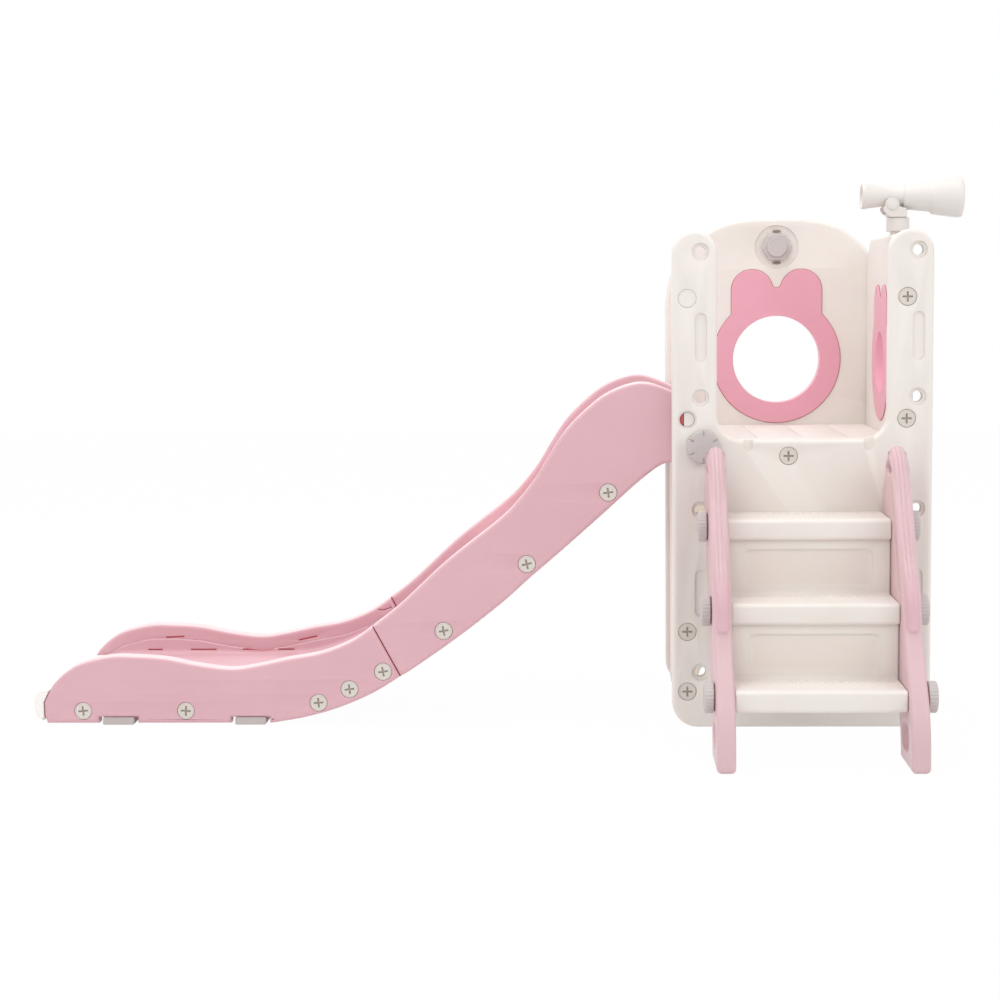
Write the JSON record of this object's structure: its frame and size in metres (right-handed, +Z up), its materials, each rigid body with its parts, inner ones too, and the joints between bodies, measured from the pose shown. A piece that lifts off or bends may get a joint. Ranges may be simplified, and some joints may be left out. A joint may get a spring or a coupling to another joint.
{
  "type": "toddler slide with play tower",
  "caption": "Moulded toddler play tower with a platform, ring windows, front ladder, long two-part wavy slide to the left and a swivelling toy telescope.",
  "frame": {"origin": "middle of the set's footprint on the floor", "axes": "+Z up, +X from the slide's run-out to the tower's telescope side, +Y from the ladder to the back panel"},
  "size_m": [1.8424, 0.912, 1.0674],
  "materials": {
    "ivory_plastic": "satin blow-moulded plastic, fine texture",
    "pink_plastic": "satin moulded plastic",
    "pale_pink_plastic": "satin moulded plastic",
    "rose_plastic": "semi-gloss moulded plastic",
    "screw_plastic": "satin plastic, cross recess",
    "knob_plastic": "matt moulded plastic",
    "pad_rubber": "matt soft rubber",
    "white_plastic": "semi-gloss moulded plastic"
  },
  "bodies": {
    "play_set": {"front_panel": "ivory_plastic", "back_panel": "ivory_plastic", "left_panel": "ivory_plastic", "right_panel": "ivory_plastic", "platform": "ivory_plastic", "step_1": "ivory_plastic", "step_2": "ivory_plastic", "step_3": "ivory_plastic", "front_hole_cap": "ivory_plastic", "slide_lower_rail_near": "pink_plastic", "slide_lower_rail_far": "pink_plastic", "slide_upper_rail_near": "pink_plastic", "slide_upper_rail_far": "pink_plastic", "slide_lower_tray": "pink_plastic", "slide_upper_tray": "pink_plastic", "ladder_left_rail": "pale_pink_plastic", "ladder_right_rail": "pale_pink_plastic", "back_window_ring": "rose_plastic", "side_window_ring": "rose_plastic", "front_screw_left_1": "screw_plastic", "front_screw_left_2": "screw_plastic", "front_screw_right_1": "screw_plastic", "front_screw_right_2": "screw_plastic", "back_screw_left_1": "screw_plastic", "back_screw_left_2": "screw_plastic", "back_screw_right_1": "screw_plastic", "back_screw_right_2": "screw_plastic", "platform_screw": "screw_plastic", "slide_screw_near_1": "screw_plastic", "slide_screw_near_2": "screw_plastic", "slide_screw_near_3": "screw_plastic", "slide_screw_near_4": "screw_plastic", "slide_screw_near_5": "screw_plastic", "slide_screw_near_6": "screw_plastic", "slide_screw_near_7": "screw_plastic", "slide_screw_near_8": "screw_plastic", "slide_screw_far_1": "screw_plastic", "slide_screw_far_2": "screw_plastic", "slide_screw_far_3": "screw_plastic", "slide_screw_far_4": "screw_plastic", "slide_screw_far_5": "screw_plastic", "slide_screw_far_6": "screw_plastic", "slide_screw_far_7": "screw_plastic", "slide_screw_far_8": "screw_plastic", "socket_nut": "knob_plastic", "socket_bolt": "knob_plastic", "slide_floor_pad_1": "pad_rubber", "slide_floor_pad_2": "pad_rubber", "slide_end_roll": "white_plastic", "telescope_mast": "white_plastic"},
    "ladder_knob_left_1": {"ladder_knob_left_1": "knob_plastic"},
    "ladder_knob_left_2": {"ladder_knob_left_2": "knob_plastic"},
    "ladder_knob_left_3": {"ladder_knob_left_3": "knob_plastic"},
    "ladder_knob_right_1": {"ladder_knob_right_1": "knob_plastic"},
    "ladder_knob_right_2": {"ladder_knob_right_2": "knob_plastic"},
    "ladder_knob_right_3": {"ladder_knob_right_3": "knob_plastic"},
    "hook_knob": {"hook_knob": "knob_plastic"},
    "telescope_yoke": {"telescope_yoke": "white_plastic", "telescope_pin": "white_plastic"},
    "telescope_barrel": {"telescope_barrel": "white_plastic"}
  },
  "joints": [
    {"name": "ladder_knob_left_1_turn", "type": "hinge", "parent": "play_set", "child": "ladder_knob_left_1", "pos_m": [0.4086, -0.382, 0.125], "axis": [-1, 0, 0], "continuous": true},
    {"name": "ladder_knob_left_2_turn", "type": "hinge", "parent": "play_set", "child": "ladder_knob_left_2", "pos_m": [0.4086, -0.274, 0.2655], "axis": [-1, 0, 0], "continuous": true},
    {"name": "ladder_knob_left_3_turn", "type": "hinge", "parent": "play_set", "child": "ladder_knob_left_3", "pos_m": [0.4086, -0.158, 0.4075], "axis": [-1, 0, 0], "continuous": true},
    {"name": "ladder_knob_right_1_turn", "type": "hinge", "parent": "play_set", "child": "ladder_knob_right_1", "pos_m": [0.7846, -0.382, 0.125], "axis": [1, 0, 0], "continuous": true},
    {"name": "ladder_knob_right_2_turn", "type": "hinge", "parent": "play_set", "child": "ladder_knob_right_2", "pos_m": [0.7846, -0.274, 0.2655], "axis": [1, 0, 0], "continuous": true},
    {"name": "ladder_knob_right_3_turn", "type": "hinge", "parent": "play_set", "child": "ladder_knob_right_3", "pos_m": [0.7846, -0.158, 0.4075], "axis": [1, 0, 0], "continuous": true},
    {"name": "hook_knob_turn", "type": "hinge", "parent": "play_set", "child": "hook_knob", "pos_m": [0.4066, -0.044, 0.55], "axis": [0, -1, 0], "continuous": true},
    {"name": "telescope_swivel", "type": "hinge", "parent": "play_set", "child": "telescope_yoke", "pos_m": [0.7961, 0.096, 0.989], "axis": [0, 0, 1], "continuous": true},
    {"name": "telescope_tilt", "type": "hinge", "parent": "telescope_yoke", "child": "telescope_barrel", "pos_m": [0.7821, 0.096, 1.0135], "axis": [0, 1, 0], "range_deg": [-20, 9]}
  ]
}
